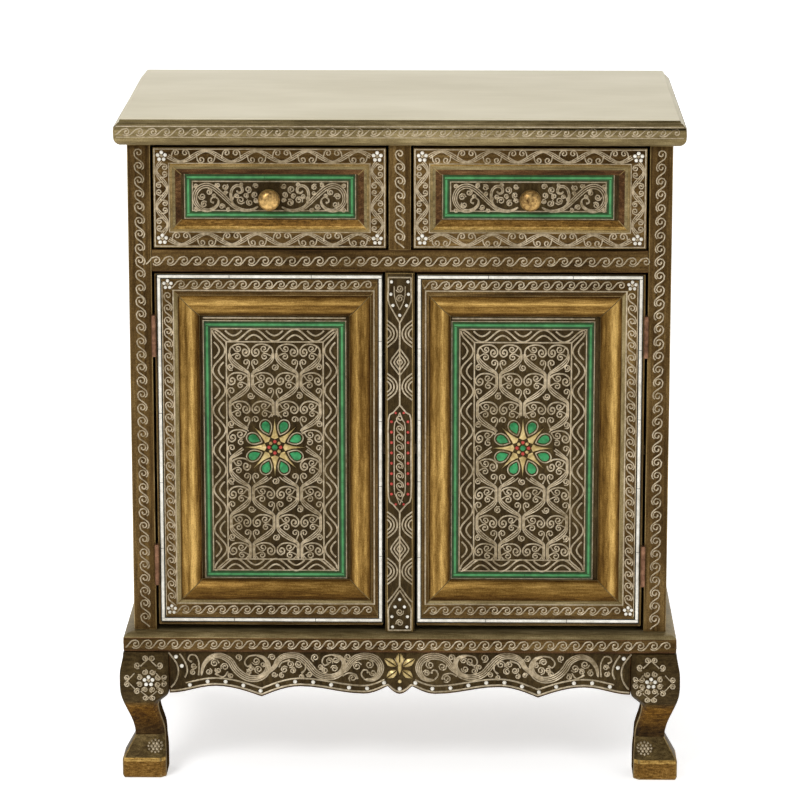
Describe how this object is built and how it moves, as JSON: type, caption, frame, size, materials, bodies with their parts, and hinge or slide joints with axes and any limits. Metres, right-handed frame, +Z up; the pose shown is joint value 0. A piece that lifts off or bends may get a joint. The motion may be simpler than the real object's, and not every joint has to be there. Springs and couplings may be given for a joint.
{
  "type": "carved cabinet",
  "caption": "Carved and painted wooden cabinet: knobbed drawers over panelled doors, with a moulded top, a scalloped apron and cabriole legs. Stands on the floor and stores small things.",
  "frame": {"origin": "floor level, in the middle of the whole object's box, knobs included", "axes": "+Z up, the front with the doors and drawers faces -Y, +X to the right of someone facing the front"},
  "size_m": [0.623, 0.39, 0.745],
  "materials": {
    "bronze_paint": "dark brown painted wood with a rubbed bronze-gold wash and raised painted lines, satin lacquer",
    "gilt_top": "wood painted in pale antique gold, glossy lacquer",
    "panel_paint": "dark painted panel with raised scrolls, green bands and a gold rosette",
    "plain_wood": "plain oiled wood inside the cabinet",
    "copper_hinge": "aged copper-brown",
    "brass_knob": "aged brass",
    "steel": "zinc plated",
    "black_plastic": "moulded, matt"
  },
  "bodies": {
    "carcass": {"top_board": "gilt_top", "base_board": "bronze_paint", "front_left_post": "bronze_paint", "front_right_post": "bronze_paint", "rear_left_post": "bronze_paint", "rear_right_post": "bronze_paint", "mid_rail": "bronze_paint", "drawer_post": "bronze_paint", "centre_stile": "bronze_paint", "left_side_panel": "bronze_paint", "right_side_panel": "bronze_paint", "back_panel": "bronze_paint", "shelf": "plain_wood", "left_runner": "plain_wood", "centre_runner": "plain_wood", "right_runner": "plain_wood", "front_apron": "bronze_paint", "rear_apron": "bronze_paint", "left_apron": "bronze_paint", "right_apron": "bronze_paint", "front_left_leg": "bronze_paint", "front_right_leg": "bronze_paint", "rear_left_leg": "bronze_paint", "rear_right_leg": "bronze_paint", "magnetic_catch": "black_plastic", "left_upper_hinge_frame_leaf": "copper_hinge", "left_lower_hinge_frame_leaf": "copper_hinge", "right_upper_hinge_frame_leaf": "copper_hinge", "right_lower_hinge_frame_leaf": "copper_hinge"},
    "left_door": {"left_door_hinge_stile": "bronze_paint", "left_door_meeting_stile": "bronze_paint", "left_door_top_rail": "bronze_paint", "left_door_bottom_rail": "bronze_paint", "left_door_panel": "panel_paint", "left_door_strike": "steel", "left_upper_hinge_door_leaf": "copper_hinge", "left_lower_hinge_door_leaf": "copper_hinge"},
    "right_door": {"right_door_hinge_stile": "bronze_paint", "right_door_meeting_stile": "bronze_paint", "right_door_top_rail": "bronze_paint", "right_door_bottom_rail": "bronze_paint", "right_door_panel": "panel_paint", "right_door_strike": "steel", "right_upper_hinge_door_leaf": "copper_hinge", "right_lower_hinge_door_leaf": "copper_hinge"},
    "left_drawer": {"left_drawer_front": "bronze_paint", "left_drawer_outer_side": "plain_wood", "left_drawer_inner_side": "plain_wood", "left_drawer_back": "plain_wood", "left_drawer_bottom": "plain_wood", "left_drawer_knob": "brass_knob", "left_drawer_knob_screw": "steel"},
    "right_drawer": {"right_drawer_front": "bronze_paint", "right_drawer_outer_side": "plain_wood", "right_drawer_inner_side": "plain_wood", "right_drawer_back": "plain_wood", "right_drawer_bottom": "plain_wood", "right_drawer_knob": "brass_knob", "right_drawer_knob_screw": "steel"}
  },
  "joints": [
    {"name": "left_door_swing", "type": "hinge", "parent": "carcass", "child": "left_door", "pos_m": [-0.269, -0.17619, 0.374], "axis": [0, 0, -1], "range_deg": [0, 165]},
    {"name": "right_door_swing", "type": "hinge", "parent": "carcass", "child": "right_door", "pos_m": [0.269, -0.17619, 0.374], "axis": [0, 0, 1], "range_deg": [0, 165]},
    {"name": "left_drawer_slide", "type": "slide", "parent": "carcass", "child": "left_drawer", "axis": [0, -1, 0], "range_m": [0, 0.22]},
    {"name": "right_drawer_slide", "type": "slide", "parent": "carcass", "child": "right_drawer", "axis": [0, -1, 0], "range_m": [0, 0.22]}
  ]
}
